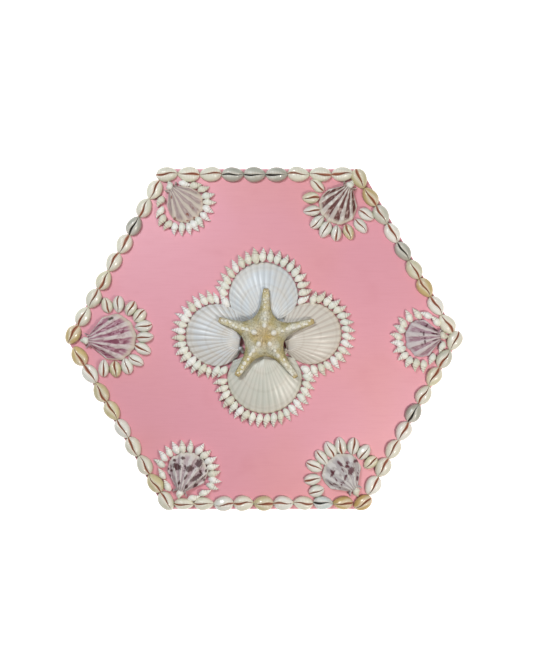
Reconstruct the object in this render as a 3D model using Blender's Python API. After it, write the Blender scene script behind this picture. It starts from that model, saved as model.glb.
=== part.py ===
"""Six-sided wooden box with a lift-off lid, the lid set all over with sea shells.

Metres, +Z up. The origin is under the middle of the floor board. Corners lie along X and
flat sides face +Y and -Y, so that the lid is seen with its flats at the top and the bottom.
"""

import math

import bmesh
import bpy
from mathutils import Matrix, Vector

# box and lid boards
LID_ACROSS_CORNERS = 0.340
LID_BOARD_THICKNESS = 0.006
LID_RIM_DEPTH = 0.030
LID_RIM_THICKNESS = 0.005
LID_SIDE_CLEARANCE = 0.0015
BASE_HEIGHT = 0.090
BASE_WALL_THICKNESS = 0.005
FLOOR_THICKNESS = 0.006
JOINT_GAP = 0.0003

# glue under the shells, and the bends in a ring of it for each shell
GLUE_THICKNESS = 0.0006
GLUE_SINK = 0.0003
ROW_GLUE_WIDTH = 0.006
RING_GLUE_WIDTH = 0.0040
GLUE_BENDS = 0.6

# cowries along the edge of the lid: how far in the row lies, where it starts after the corner
# before it, and the length of its shells
COWRIE_ROWS = {
    "n": {"inset": 0.0042, "start": 0.0045, "length": 0.0177},
    "ne": {"inset": 0.0050, "start": 0.0060, "length": 0.0175},
    "se": {"inset": 0.0029, "start": 0.0040, "length": 0.0172},
    "s": {"inset": 0.0043, "start": 0.0000, "length": 0.0163},
    "sw": {"inset": 0.0035, "start": 0.0060, "length": 0.0175},
    "nw": {"inset": 0.0021, "start": 0.0062, "length": 0.0172},
}
SIDE_FACING = {"ne": 30, "n": 90, "nw": 150, "sw": 210, "s": 270, "se": 330}
CORNER_BEARING = {"e": 0, "ne": 60, "nw": 120, "w": 180, "sw": 240, "se": 300}
COWRIE_WIDTH = 0.0129
COWRIE_HEIGHT = 0.0062
COWRIE_SPACING = 0.0008
ROW_END_MARGIN = 0.0160

# form of a cowrie, as shares of its length, width and height
COWRIE_SIDES = 8
COWRIE_TAPER = 0.12
LIP_LENGTH = 0.74
LIP_WIDTH = 0.58
LIP_LEVEL = 0.96
SLIT_HALF = 0.16
SLIT_LEVEL = 0.55

# form of a small spiral shell, as shares of its length and height from the blunt end
SPIRAL_SIDES = 5
SPIRAL_WIDEST = 0.42
SPIRAL_BLUNT_LEVEL = 0.35
SPIRAL_TIP_LEVEL = 0.25

# how far behind a scallop's hinge its ears lie, as a share of where the scallop starts
EAR_STEP = 0.15

# a small round shell near each corner, and the fan shell that opens from it: how far the small
# shell lies in from the corner and aside of the corner's line, which way the fan faces in
# degrees, its length from the small shell and its half width
APEX_SNAIL_RADIUS = 0.0030
APEX_SNAIL_HEIGHT = 0.0052
FANS = {
    "e": {"inward": 0.0133, "aside": 0.0027, "facing": 186, "length": 0.0338, "half_width": 0.0176},
    "ne": {"inward": 0.0158, "aside": 0.0014, "facing": 240, "length": 0.0378, "half_width": 0.0170},
    "nw": {"inward": 0.0144, "aside": 0.0035, "facing": 309, "length": 0.0372, "half_width": 0.0162},
    "w": {"inward": 0.0154, "aside": 0.0013, "facing": 6, "length": 0.0450, "half_width": 0.0208},
    "sw": {"inward": 0.0174, "aside": 0.0046, "facing": 71, "length": 0.0378, "half_width": 0.0187},
    "se": {"inward": 0.0145, "aside": 0.0037, "facing": 126, "length": 0.0375, "half_width": 0.0183},
}
FAN_MAKE = {
    "near": APEX_SNAIL_RADIUS + 2 * JOINT_GAP,
    "rim_turn": math.radians(97),
    "height": 0.0075,
    "wall": 0.0014,
    "ribs": 5,
    "rings": 2,
    "rib_height": 0.0009,
    "ear": 0.0,
}

# small shells around each fan: kind, and the middle and the reach of their arc in degrees
HALO_CLEARANCE = 0.0006
HALO_COWRIE = {"length": 0.0150, "width": 0.0094, "height": 0.0055}
HALO_SPIRAL = {"length": 0.0112, "width": 0.0062, "height": 0.0050}
HALO_SPACING = 0.0010
HALOS = {
    "e": {"kind": "spiral", "facing": 195, "reach": 130},
    "ne": {"kind": "cowrie", "facing": 240, "reach": 100},
    "nw": {"kind": "spiral", "facing": 315, "reach": 132},
    "w": {"kind": "cowrie", "facing": 0, "reach": 106},
    "sw": {"kind": "spiral", "facing": 69, "reach": 132},
    "se": {"kind": "cowrie", "facing": 118, "reach": 97},
}

# four scallops around the middle: facing in degrees, half width, length, and how far the hinge lies out
MIDDLE_X = 0.0008
MIDDLE_Y = 0.0030
SCALLOPS = {
    "n": {"facing": 90, "half_width": 0.0300, "length": 0.0550, "hinge_out": 0.0075},
    "e": {"facing": 0, "half_width": 0.0270, "length": 0.0490, "hinge_out": 0.0185},
    "s": {"facing": 270, "half_width": 0.0325, "length": 0.0595, "hinge_out": 0.0080},
    "w": {"facing": 180, "half_width": 0.0270, "length": 0.0490, "hinge_out": 0.0185},
}
SCALLOP_MAKE = {
    "near": 0.0054,
    "rim_turn": math.radians(104),
    "height": 0.0105,
    "wall": 0.0018,
    "ribs": 8,
    "rings": 3,
    "rib_height": 0.0009,
    "ear": 0.0100,
}

# small spiral shells around each scallop, and the reach of their arc in degrees
LOBE_SPIRAL = {"length": 0.0122, "width": 0.0060, "height": 0.0052}
LOBE_CLEARANCE = 0.0008
LOBE_SPACING = 0.0004
LOBE_REACH = {"n": 79, "e": 76, "s": 78, "w": 76}

# starfish on top of the scallops: bearing in degrees and length of each arm, the radius of its
# waist, and how fast the arms flare into it
STAR_BEARINGS = (16.2, 87.2, 160.5, 235.7, 307.7)
STAR_ARM_LENGTHS = (0.0449, 0.0406, 0.0413, 0.0421, 0.0456)
STAR_WAIST = 0.0184
STAR_POINT = 0.1270
STAR_FLARE = math.radians(9.5)
STAR_HEIGHT = 0.0085
STAR_TIP_SHARE = 0.60
STAR_KNOB = 0.0010
STAR_RINGS = 6
STAR_SHARES = (0.0, 0.055, 0.13, 0.26, 0.5, 0.74, 0.87, 0.945)

SIDE_HALF = math.tan(math.radians(30))
MIDDLE = Vector((MIDDLE_X, MIDDLE_Y))
LID_APOTHEM = LID_ACROSS_CORNERS / 2 * math.cos(math.radians(30))
BASE_APOTHEM = LID_APOTHEM - LID_RIM_THICKNESS - LID_SIDE_CLEARANCE
LID_UNDERSIDE = BASE_HEIGHT + JOINT_GAP
LID_TOP = LID_UNDERSIDE + LID_BOARD_THICKNESS
SHELL_LEVEL = LID_TOP + JOINT_GAP


def make_material(name, colour, roughness, metallic=0.0):
    material = bpy.data.materials.new(name)
    material.use_nodes = True
    shader = material.node_tree.nodes["Principled BSDF"]
    shader.inputs["Base Color"].default_value = (*colour, 1.0)
    shader.inputs["Roughness"].default_value = roughness
    shader.inputs["Metallic"].default_value = metallic
    return material


def add_object(name, bm, material):
    """Turn a bmesh into a named object that holds one material."""
    mesh = bpy.data.meshes.new(name)
    bm.normal_update()
    bm.to_mesh(mesh)
    bm.free()
    obj = bpy.data.objects.new(name, mesh)
    obj.data.materials.append(material)
    bpy.context.scene.collection.objects.link(obj)
    return obj


def turned(angle):
    return Vector((math.cos(angle), math.sin(angle)))


def lies_at(place, angle, level):
    """Matrix that lays a shape's +X along an angle at a point of the lid."""
    return Matrix.Translation((place.x, place.y, level)) @ Matrix.Rotation(angle, 4, "Z")


def add_prism(bm, outline, low, high):
    """Extrude a flat outline, given anticlockwise, from one level up to another."""
    bottom = bm.faces.new([bm.verts.new((point[0], point[1], low)) for point in outline])
    bottom.normal_flip()
    raised = bmesh.ops.extrude_face_region(bm, geom=[bottom])["geom"]
    lifted = [item for item in raised if isinstance(item, bmesh.types.BMVert)]
    bmesh.ops.translate(bm, verts=lifted, vec=(0, 0, high - low))
    bmesh.ops.recalc_face_normals(bm, faces=bm.faces)


def hexagon(apothem):
    reach = apothem / math.cos(math.radians(30))
    return [turned(math.radians(60 * corner)) * reach for corner in range(6)]


def add_hexagon_board(name, apothem, low, high, material):
    bm = bmesh.new()
    add_prism(bm, hexagon(apothem), low, high)
    return add_object(name, bm, material)


def add_side_boards(prefix, apothem, thickness, low, high, material):
    """Six boards on edge, with mitred ends a joint's gap apart."""
    mitre_gap = JOINT_GAP / 2 / math.cos(math.radians(30))
    outer = apothem * SIDE_HALF - mitre_gap
    inner = (apothem - thickness) * SIDE_HALF - mitre_gap
    for side, facing in SIDE_FACING.items():
        outward = turned(math.radians(facing))
        along = turned(math.radians(facing + 90))
        outline = (
            outward * (apothem - thickness) - along * inner,
            outward * apothem - along * outer,
            outward * apothem + along * outer,
            outward * (apothem - thickness) + along * inner,
        )
        bm = bmesh.new()
        add_prism(bm, outline, low, high)
        add_object(f"{prefix}_{side}", bm, material)


def add_ring(bm, points):
    return [bm.verts.new(point) for point in points]


def bridge(bm, lower, upper):
    """Faces between two closed rings with the same number of corners."""
    count = len(lower)
    for index in range(count):
        after = (index + 1) % count
        bm.faces.new((lower[index], lower[after], upper[after], upper[index]))


def add_cowrie(bm, place, length, width, height):
    """A cut cowrie with its slit up: an egg shaped foot, two lips and the groove between."""

    def ring(share_along, share_across, level):
        for step in range(COWRIE_SIDES):
            angle = 2 * math.pi * step / COWRIE_SIDES
            across = math.sin(angle) * (1 - COWRIE_TAPER * math.cos(angle))
            yield place @ Vector(
                (
                    length / 2 * share_along * math.cos(angle),
                    width / 2 * share_across * across,
                    height * level,
                )
            )

    foot = add_ring(bm, ring(1.0, 1.0, 0.0))
    lips = add_ring(bm, ring(LIP_LENGTH, LIP_WIDTH, LIP_LEVEL))
    bridge(bm, foot, lips)
    bm.faces.new(list(reversed(foot)))
    front = bm.verts.new(place @ Vector((length * SLIT_HALF, 0, height * SLIT_LEVEL)))
    back = bm.verts.new(place @ Vector((-length * SLIT_HALF, 0, height * SLIT_LEVEL)))
    half = COWRIE_SIDES // 2
    quarter = COWRIE_SIDES // 4
    for first in (0, half):
        nearer, further = (front, back) if first == 0 else (back, front)
        for step in range(half):
            here = lips[first + step]
            after = lips[(first + step + 1) % COWRIE_SIDES]
            bm.faces.new((here, after, nearer if step < quarter else further))
        bm.faces.new((lips[first + quarter], further, nearer))


def add_spiral(bm, place, length, width, height):
    """A small pointed shell on its side, its spire along +X, with a blunt body whorl."""
    corners = []
    for step in range(SPIRAL_SIDES):
        angle = 2 * math.pi * (step + 0.5) / SPIRAL_SIDES - math.pi / 2
        rise = (math.sin(angle) + math.cos(math.pi / SPIRAL_SIDES)) / 2 * height
        corner = Vector((length * (SPIRAL_WIDEST - 0.5), width / 2 * math.cos(angle), rise))
        corners.append(place @ corner)
    whorl = add_ring(bm, corners)
    mouth = bm.verts.new(place @ Vector((-length / 2, 0, height * SPIRAL_BLUNT_LEVEL)))
    tip = bm.verts.new(place @ Vector((length / 2, 0, height * SPIRAL_TIP_LEVEL)))
    for step in range(SPIRAL_SIDES):
        after = (step + 1) % SPIRAL_SIDES
        bm.faces.new((whorl[step], mouth, whorl[after]))
        bm.faces.new((whorl[after], tip, whorl[step]))


def fuse_on_glue(name, glue, shells, material):
    """Join a run of shells to the bead of glue that they sit in, as one body."""
    bmesh.ops.recalc_face_normals(glue, faces=glue.faces)
    bmesh.ops.recalc_face_normals(shells, faces=shells.faces)
    run = add_object(name, glue, material)
    loose = add_object(f"{name}.loose", shells, material)
    loose.hide_render = True
    loose.display_type = "WIRE"
    union = run.modifiers.new("Shells", "BOOLEAN")
    union.operation = "UNION"
    union.solver = "EXACT"
    union.object = loose
    return run


GLUE_TOP = SHELL_LEVEL + GLUE_THICKNESS
SET_IN_GLUE = GLUE_TOP - GLUE_SINK


def add_cowrie_rows(material):
    """Cowries end to end along each side, each row starting at the corner before it."""
    side_length = LID_ACROSS_CORNERS / 2
    for side, row in COWRIE_ROWS.items():
        inset, start, length = row["inset"], row["start"], row["length"]
        facing = math.radians(SIDE_FACING[side])
        outward = turned(facing)
        along = turned(facing - math.pi / 2)
        corner = outward * LID_APOTHEM - along * side_length / 2
        pitch = length + COWRIE_SPACING
        count = int((side_length - start - ROW_END_MARGIN) / pitch) + 1
        line = corner - outward * inset
        first = line + along * start
        last = first + along * pitch * (count - 1)
        overrun = length / 4
        edge = outward * ROW_GLUE_WIDTH / 2
        glue = bmesh.new()
        outline = (
            first - along * overrun - edge,
            last + along * overrun - edge,
            last + along * overrun + edge,
            first - along * overrun + edge,
        )
        add_prism(glue, outline, SHELL_LEVEL, GLUE_TOP)
        shells = bmesh.new()
        for step in range(count):
            centre = first + along * pitch * step
            place = lies_at(centre, facing - math.pi / 2, SET_IN_GLUE)
            add_cowrie(shells, place, length, COWRIE_WIDTH, COWRIE_HEIGHT)
        fuse_on_glue(f"cowrie_row_{side}", glue, shells, material)


def clears_the_rows(centre, angle, inner, length, width):
    """Whether a shell set like a ray keeps off the cowries along the edge of the lid."""
    for side, row in COWRIE_ROWS.items():
        outward = turned(math.radians(SIDE_FACING[side]))
        limit = LID_APOTHEM - row["inset"] - COWRIE_WIDTH / 2 - JOINT_GAP
        for along, half_width in ((1.0, 0.0), (0.75, 0.34), (0.5, 0.5)):
            point = centre + turned(angle) * (inner + length * along)
            if point.dot(outward) + width * half_width > limit:
                return False
    return True


def add_arc_run(name, centre, facing, reach, inner, kind, size, spacing, material):
    """Shells set like rays around an arc, on an arc of glue, as far as the edge rows allow."""
    length, width, height = size["length"], size["width"], size["height"]
    turns = [facing + math.radians(degrees) for degrees in range(-reach, reach + 1)]
    free = [angle for angle in turns if clears_the_rows(centre, angle, inner, length, width)]
    first, last = free[0], free[-1]
    widest = inner + length * (0.5 if kind == "cowrie" else SPIRAL_WIDEST)
    step = (width + spacing) / widest
    count = int((last - first) / step) + 1
    overrun = width / 5 / widest
    bends = round(count * GLUE_BENDS)
    arc_step = (last - first + 2 * overrun) / bends
    arc = [first - overrun + arc_step * index for index in range(bends + 1)]
    outer_edge = [centre + turned(angle) * (widest + RING_GLUE_WIDTH / 2) for angle in arc]
    inner_edge = [centre + turned(angle) * (widest - RING_GLUE_WIDTH / 2) for angle in reversed(arc)]
    glue = bmesh.new()
    add_prism(glue, outer_edge + inner_edge, SHELL_LEVEL, GLUE_TOP)
    shells = bmesh.new()
    add_shell = add_cowrie if kind == "cowrie" else add_spiral
    for index in range(count):
        angle = first + (last - first) * index / (count - 1)
        spot = centre + turned(angle) * (inner + length / 2)
        add_shell(shells, lies_at(spot, angle, SET_IN_GLUE), length, width, height)
    fuse_on_glue(name, glue, shells, material)


def fan_sheet(length, half_width, make, trim=0.0):
    """Points of one skin of a fan shell, from hinge to rim, with its hinge at the origin.

    The rim is part of a circle and ends at its turn on both sides. Across a row the ribs rise
    and fall, and along it the shell swells soon after the hinge.
    """
    near, rings, ear = make["near"], make["rings"], make["ear"]
    to_centre = length - half_width
    rim_end = Vector((to_centre, 0.0)) + turned(make["rim_turn"]) * half_width
    half_angle = math.atan2(rim_end.y, rim_end.x) - trim
    columns = 2 * make["ribs"]
    rows = []
    for ring in range(rings + 1):
        row = []
        for column in range(columns + 1):
            across = 2 * column / columns - 1
            angle = across * half_angle
            side = to_centre * math.sin(angle)
            reach = to_centre * math.cos(angle) + math.sqrt(half_width**2 - side**2)
            distance = near + (reach - near) * ring / rings
            out = distance / reach
            dome = math.sin(math.pi * out**0.7) ** 0.75 if ring < rings else 0.0
            rise = make["height"] * dome * math.sqrt(max(0.0, 1 - across * across))
            rise += make["rib_height"] * out * (column % 2)
            spread = turned(angle) * distance
            row.append(Vector((spread.x, spread.y, rise)))
        rows.append(row)
    if ear:
        rows[0][0] = Vector((near * EAR_STEP, -ear, 0.0))
        rows[0][-1] = Vector((near * EAR_STEP, ear, 0.0))
    return rows


def add_valve(name, place, length, half_width, make, material):
    """A thin ribbed valve lying on its rim: outer skin, inner skin and the edge between them."""
    wall, rings = make["wall"], make["rings"]
    outer = fan_sheet(length, half_width, make)
    thinner = dict(make)
    thinner["height"] = make["height"] - wall
    thinner["rib_height"] = make["rib_height"] / 2
    thinner["ear"] = 0.0
    inner = fan_sheet(length - 2 * wall, half_width - wall, thinner, wall / length)
    bm = bmesh.new()
    top = [[bm.verts.new(place @ point) for point in row] for row in outer]
    shift = Vector((wall, 0, 0))
    under = [[bm.verts.new(place @ (point + shift)) for point in row] for row in inner]
    columns = len(top[0]) - 1
    for ring in range(rings):
        for column in range(columns):
            bm.faces.new(
                (
                    top[ring][column],
                    top[ring + 1][column],
                    top[ring + 1][column + 1],
                    top[ring][column + 1],
                )
            )
            bm.faces.new(
                (
                    under[ring][column],
                    under[ring][column + 1],
                    under[ring + 1][column + 1],
                    under[ring + 1][column],
                )
            )
    for column in range(columns):
        for ring, turn in ((0, 1), (rings, 0)):
            first, second = column + turn, column + 1 - turn
            bm.faces.new((top[ring][first], under[ring][first], under[ring][second], top[ring][second]))
    for ring in range(rings):
        for column, turn in ((0, 0), (columns, 1)):
            first, second = ring + turn, ring + 1 - turn
            corners = (top[first][column], under[first][column], under[second][column], top[second][column])
            bm.faces.new(corners)
    bmesh.ops.recalc_face_normals(bm, faces=bm.faces)
    crown = max(vertex.co.z for vertex in bm.verts)
    add_object(name, bm, material)
    return crown


def add_corners(fan_material, cowrie_material, small_material):
    """At each corner a small round shell, a fan that opens from it, and a ring of shells."""
    for corner, fan in FANS.items():
        outward = turned(math.radians(CORNER_BEARING[corner]))
        tip = outward * (LID_ACROSS_CORNERS / 2 - fan["inward"]) + outward.orthogonal() * fan["aside"]
        snail = bmesh.new()
        bmesh.ops.create_uvsphere(snail, u_segments=8, v_segments=3, radius=1.0)
        round_size = (APEX_SNAIL_RADIUS, APEX_SNAIL_RADIUS, APEX_SNAIL_HEIGHT / 2)
        bmesh.ops.scale(snail, verts=snail.verts, vec=round_size)
        lift = SHELL_LEVEL + APEX_SNAIL_HEIGHT / 2
        bmesh.ops.translate(snail, verts=snail.verts, vec=(tip.x, tip.y, lift))
        add_object(f"apex_snail_{corner}", snail, small_material)
        facing = math.radians(fan["facing"])
        length, half_width = fan["length"], fan["half_width"]
        place = lies_at(tip, facing, SHELL_LEVEL)
        add_valve(f"fan_shell_{corner}", place, length, half_width, FAN_MAKE, fan_material)
        halo = HALOS[corner]
        size, material = (
            (HALO_COWRIE, cowrie_material)
            if halo["kind"] == "cowrie"
            else (HALO_SPIRAL, small_material)
        )
        add_arc_run(
            f"halo_shells_{corner}",
            tip + turned(facing) * (length - half_width),
            math.radians(halo["facing"]),
            halo["reach"],
            half_width + HALO_CLEARANCE,
            halo["kind"],
            size,
            HALO_SPACING,
            material,
        )


def add_quatrefoil(shell_material, small_material):
    """Four scallops back to back, each with its ring of small shells. Returns their top."""
    crown = 0.0
    for name, scallop in SCALLOPS.items():
        facing = math.radians(scallop["facing"])
        hinge = MIDDLE + turned(facing) * scallop["hinge_out"]
        place = lies_at(hinge, facing, SHELL_LEVEL)
        length, half_width = scallop["length"], scallop["half_width"]
        top = add_valve(f"scallop_{name}", place, length, half_width, SCALLOP_MAKE, shell_material)
        crown = max(crown, top)
        add_arc_run(
            f"spiral_row_{name}",
            hinge + turned(facing) * (length - half_width),
            facing,
            LOBE_REACH[name],
            half_width + LOBE_CLEARANCE,
            "spiral",
            LOBE_SPIRAL,
            LOBE_SPACING,
            small_material,
        )
    return crown


def star_reach(off, arm_length):
    """Distance from the starfish's middle to its edge, at an angle off an arm's own line."""
    at_arm, at_waist = 1 / STAR_POINT, 1 / STAR_WAIST
    return min(arm_length, 1 / (at_waist - (at_waist - at_arm) * math.exp(-off / STAR_FLARE)))


def add_starfish(level, material):
    """Five arms from one disc, flat below, with a row of knobs along each arm."""
    bm = bmesh.new()
    centre = bm.verts.new((MIDDLE.x, MIDDLE.y, level + STAR_HEIGHT))
    rings = [[] for ring in range(STAR_RINGS)]
    arms = list(zip(STAR_BEARINGS, STAR_ARM_LENGTHS))
    for arm, (bearing, arm_length) in enumerate(arms):
        next_bearing, next_length = arms[(arm + 1) % len(arms)]
        span = math.radians((next_bearing - bearing) % 360)
        for share in STAR_SHARES:
            off = span * min(share, 1 - share)
            reach = star_reach(off, arm_length if share < 0.5 else next_length)
            direction = turned(math.radians(bearing) + span * share)
            for ring in range(STAR_RINGS):
                out = (ring + 1) / STAR_RINGS
                crest = STAR_HEIGHT * (1 - (1 - STAR_TIP_SHARE) * out * reach / arm_length)
                rise = crest * max(0.0, 1 - out**2.2) ** 0.6
                knobby = share == 0.0 and ring % 2 == 0 and ring + 1 < STAR_RINGS
                point = MIDDLE + direction * reach * out
                height = level + rise + (STAR_KNOB if knobby else 0.0)
                rings[ring].append(bm.verts.new((point.x, point.y, height)))
    for ring in range(STAR_RINGS - 1):
        bridge(bm, rings[ring + 1], rings[ring])
    around = len(rings[0])
    for index in range(around):
        bm.faces.new((rings[0][index], rings[0][(index + 1) % around], centre))
    bm.faces.new(list(reversed(rings[-1])))
    bmesh.ops.recalc_face_normals(bm, faces=bm.faces)
    add_object("starfish", bm, material)


def build():
    for obj in list(bpy.data.objects):
        bpy.data.objects.remove(obj)
    paint = make_material("pink_paint", (0.74, 0.32, 0.37), 0.6)
    cowrie = make_material("cowrie_shell", (0.78, 0.70, 0.56), 0.3)
    scallop = make_material("white_shell", (0.82, 0.79, 0.74), 0.5)
    fan = make_material("fan_shell", (0.66, 0.50, 0.50), 0.5)
    small = make_material("small_shell", (0.70, 0.62, 0.50), 0.45)
    star = make_material("starfish_skin", (0.62, 0.55, 0.42), 0.8)

    floor_apothem = BASE_APOTHEM - BASE_WALL_THICKNESS - JOINT_GAP
    add_hexagon_board("box_floor", floor_apothem, 0.0, FLOOR_THICKNESS, paint)
    add_side_boards("box_wall", BASE_APOTHEM, BASE_WALL_THICKNESS, 0.0, BASE_HEIGHT, paint)
    rim_top = LID_UNDERSIDE - JOINT_GAP
    rim_low = LID_UNDERSIDE - LID_RIM_DEPTH
    add_side_boards("lid_rim", LID_APOTHEM, LID_RIM_THICKNESS, rim_low, rim_top, paint)
    add_hexagon_board("lid_board", LID_APOTHEM, LID_UNDERSIDE, LID_TOP, paint)

    add_cowrie_rows(cowrie)
    add_corners(fan, cowrie, small)
    crown = add_quatrefoil(scallop, small)
    add_starfish(crown + JOINT_GAP, star)


build()
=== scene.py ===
import math
import random

import bmesh
import bpy
from mathutils import Matrix, Vector, noise


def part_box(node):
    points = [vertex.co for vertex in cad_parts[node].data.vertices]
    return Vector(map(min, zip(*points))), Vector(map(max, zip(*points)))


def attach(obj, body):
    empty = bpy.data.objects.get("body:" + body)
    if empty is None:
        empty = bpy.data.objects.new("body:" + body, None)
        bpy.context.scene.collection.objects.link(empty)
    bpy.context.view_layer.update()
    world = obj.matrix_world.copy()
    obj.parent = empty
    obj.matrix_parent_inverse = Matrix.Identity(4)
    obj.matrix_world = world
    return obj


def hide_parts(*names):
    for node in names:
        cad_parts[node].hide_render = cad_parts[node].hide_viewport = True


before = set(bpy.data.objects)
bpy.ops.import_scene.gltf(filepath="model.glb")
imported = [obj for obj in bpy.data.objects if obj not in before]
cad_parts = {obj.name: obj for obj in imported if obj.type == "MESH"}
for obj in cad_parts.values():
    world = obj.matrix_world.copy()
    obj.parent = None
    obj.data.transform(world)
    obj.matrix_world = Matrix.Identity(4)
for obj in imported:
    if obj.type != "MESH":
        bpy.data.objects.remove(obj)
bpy.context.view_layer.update()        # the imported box, its lid and the shells' plain solids

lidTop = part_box("lid_board")[1].z
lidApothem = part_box("lid_board")[1].y       # middle to a flat side
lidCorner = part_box("lid_board")[1].x        # middle to a corner
sideFacing = {"n": 90, "ne": 30, "se": 330, "s": 270, "sw": 210, "nw": 150}
print("frame loaded:", len(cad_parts), "nodes, lid", round(2 * lidCorner, 4), "m across its corners")


def colour(code):
    # a picture colour such as "e2c9a0" in the linear light that shaders use
    parts = [int(code[at:at + 2], 16) / 255 for at in (0, 2, 4)]
    light = [((part + 0.055) / 1.055) ** 2.4 if part > 0.04045 else part / 12.92 for part in parts]
    return (*light, 1.0)


photoForm = {"middle": (263.0, 339.0), "metres": 0.000866}     # the lid's middle, and one pixel's size


def fromPhoto(across, down):
    middle = photoForm["middle"]
    return Vector((across - middle[0], middle[1] - down)) * photoForm["metres"]


def turned(degrees):
    return Vector((math.cos(math.radians(degrees)), math.sin(math.radians(degrees))))


def laidAt(spot, degrees):
    # a place on the lid, turned
    return Matrix.Translation((spot[0], spot[1], lidTop)) @ Matrix.Rotation(math.radians(degrees), 4, "Z")


def eased(value, low, high):
    share = min(1.0, max(0.0, (value - low) / (high - low)))
    return share * share * (3 - 2 * share)


class Link:
    # a socket in a material that takes part in sums
    def __init__(self, finish, socket):
        self.finish = finish
        self.socket = socket

    def __add__(self, other):
        return self.finish.maths("ADD", self, other)

    def __sub__(self, other):
        return self.finish.maths("SUBTRACT", self, other)

    def __rsub__(self, other):
        return self.finish.maths("SUBTRACT", other, self)

    def __mul__(self, other):
        return self.finish.maths("MULTIPLY", self, other)

    __radd__ = __add__
    __rmul__ = __mul__


class Finish:
    # one material and the nodes that feed its shader
    def __init__(self, name, constants):
        self.material = bpy.data.materials.new(name)
        self.material.use_nodes = True
        self.tree = self.material.node_tree
        self.shader = self.tree.nodes["Principled BSDF"]
        for socket, value in constants.items():
            self.shader.inputs[socket].default_value = value

    def node(self, kind, settings, sockets, output=0):
        made = self.tree.nodes.new(kind)
        for name, value in settings.items():
            setattr(made, name, value)
        for name, value in sockets.items():
            if isinstance(value, Link):
                self.tree.links.new(value.socket, made.inputs[name])
            else:
                made.inputs[name].default_value = value
        return Link(self, made.outputs[output])

    def maths(self, operation, *values):
        return self.node("ShaderNodeMath", {"operation": operation}, dict(enumerate(values)))

    def blend(self, share, first, second, way="MIX"):
        settings = {"data_type": "RGBA", "blend_type": way}
        return self.node("ShaderNodeMix", settings, {0: share, 6: first, 7: second}, 2)

    def mask(self, value, low, high):
        sockets = {"Value": value, "From Min": low, "From Max": high}
        return self.node("ShaderNodeMapRange", {"interpolation_type": "SMOOTHSTEP"}, sockets)

    def place(self):
        return self.node("ShaderNodeTexCoord", {}, {}, "Object")

    def stretched(self, vector, scale, degrees=0.0):
        sockets = {"Vector": vector, "Scale": scale, "Rotation": (0, 0, math.radians(degrees))}
        return self.node("ShaderNodeMapping", {}, sockets)

    def cloud(self, vector, scale, detail=2.0, roughness=0.5):
        sockets = {"Vector": vector, "Scale": scale, "Detail": detail, "Roughness": roughness}
        return self.node("ShaderNodeTexNoise", {}, sockets)

    def stored(self, name, output="Fac"):
        return self.node("ShaderNodeAttribute", {"attribute_name": name}, {}, output)

    def across(self):
        # the two ways of a valve's own map, from side to side and from hinge to rim, and the map
        flat = self.node("ShaderNodeUVMap", {"uv_map": "shellMap"}, {})
        return (
            self.node("ShaderNodeSeparateXYZ", {}, {0: flat}, 0),
            self.node("ShaderNodeSeparateXYZ", {}, {0: flat}, 1),
            flat,
        )

    def feed(self, socket, link):
        self.tree.links.new(link.socket, self.shader.inputs[socket])

    def relief(self, height, strength, distance):
        sockets = {"Strength": strength, "Distance": distance, "Height": height}
        self.feed("Normal", self.node("ShaderNodeBump", {}, sockets))


def addPiece(name, bm, finish, nodes, sharp=None):
    mesh = bpy.data.meshes.new(name)
    bm.normal_update()
    bm.to_mesh(mesh)
    bm.free()
    piece = bpy.data.objects.new(name, mesh)
    bpy.context.scene.collection.objects.link(piece)
    mesh.materials.append(finish.material)
    mesh.shade_smooth()
    if sharp:
        mesh.set_sharp_from_angle(angle=math.radians(sharp))
    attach(piece, "root")
    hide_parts(*nodes)
    return piece


# camera straight above the lid, as the photograph was taken
cameraForm = {"lens": 100.0, "sensor": 36.0, "place": (0.0030, 0.0052, 1.698)}
camera = bpy.data.objects.new("camera", bpy.data.cameras.new("camera"))
camera.data.lens = cameraForm["lens"]
camera.data.sensor_width = cameraForm["sensor"]
camera.location = cameraForm["place"]
bpy.context.scene.collection.objects.link(camera)
bpy.context.scene.camera = camera

# boards: the box's floor and walls, the lid's top and rim
boardForm = {
    "rose": colour("eda6b5"),
    "coral": colour("eda4a2"),
    "deep": colour("de909c"),
    "brush": (55.0, 900.0, 200.0),      # brush marks to the metre along, across and down
    "brushAngle": 32,
    "edge": 0.0007,
}


def paintFinish():
    paint = Finish("pinkPaint", {"Roughness": 0.5, "Coat Weight": 0.06, "Coat Roughness": 0.35})
    place = paint.place()
    broad = paint.cloud(place, 9.0, 2.0)
    blotch = paint.cloud(place, 38.0, 3.0)
    brush = paint.cloud(paint.stretched(place, boardForm["brush"], boardForm["brushAngle"]), 1.0, 4.0, 0.6)
    grain = paint.cloud(place, 1400.0, 2.0)
    base = paint.blend(paint.mask(broad, 0.40, 0.68) * 0.35, boardForm["rose"], boardForm["coral"])
    base = paint.blend(paint.mask(blotch, 0.52, 0.80) * 0.18, base, boardForm["deep"])
    base = paint.blend(paint.mask(brush, 0.40, 0.75) * 0.16, base, boardForm["deep"])
    paint.feed("Base Color", base)
    paint.feed("Roughness", 0.46 + 0.14 * brush)
    paint.relief(brush + 0.4 * grain, 0.25, 0.0002)
    return paint


def addPrism(bm, apothem, low, high):
    reach = apothem / math.cos(math.radians(30))
    middle = Matrix.Translation((0, 0, (low + high) / 2)) @ Matrix.Rotation(math.radians(30), 4, "Z")
    bmesh.ops.create_cone(
        bm, cap_ends=True, segments=6, radius1=reach, radius2=reach, depth=high - low, matrix=middle
    )
    return [face for face in bm.faces if abs(face.normal.z) > 0.5]


def softenEdges(bm, width):
    bmesh.ops.bevel(
        bm, geom=bm.edges[:], offset=width, segments=3, affect="EDGES", profile=0.5, material=-1
    )


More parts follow.
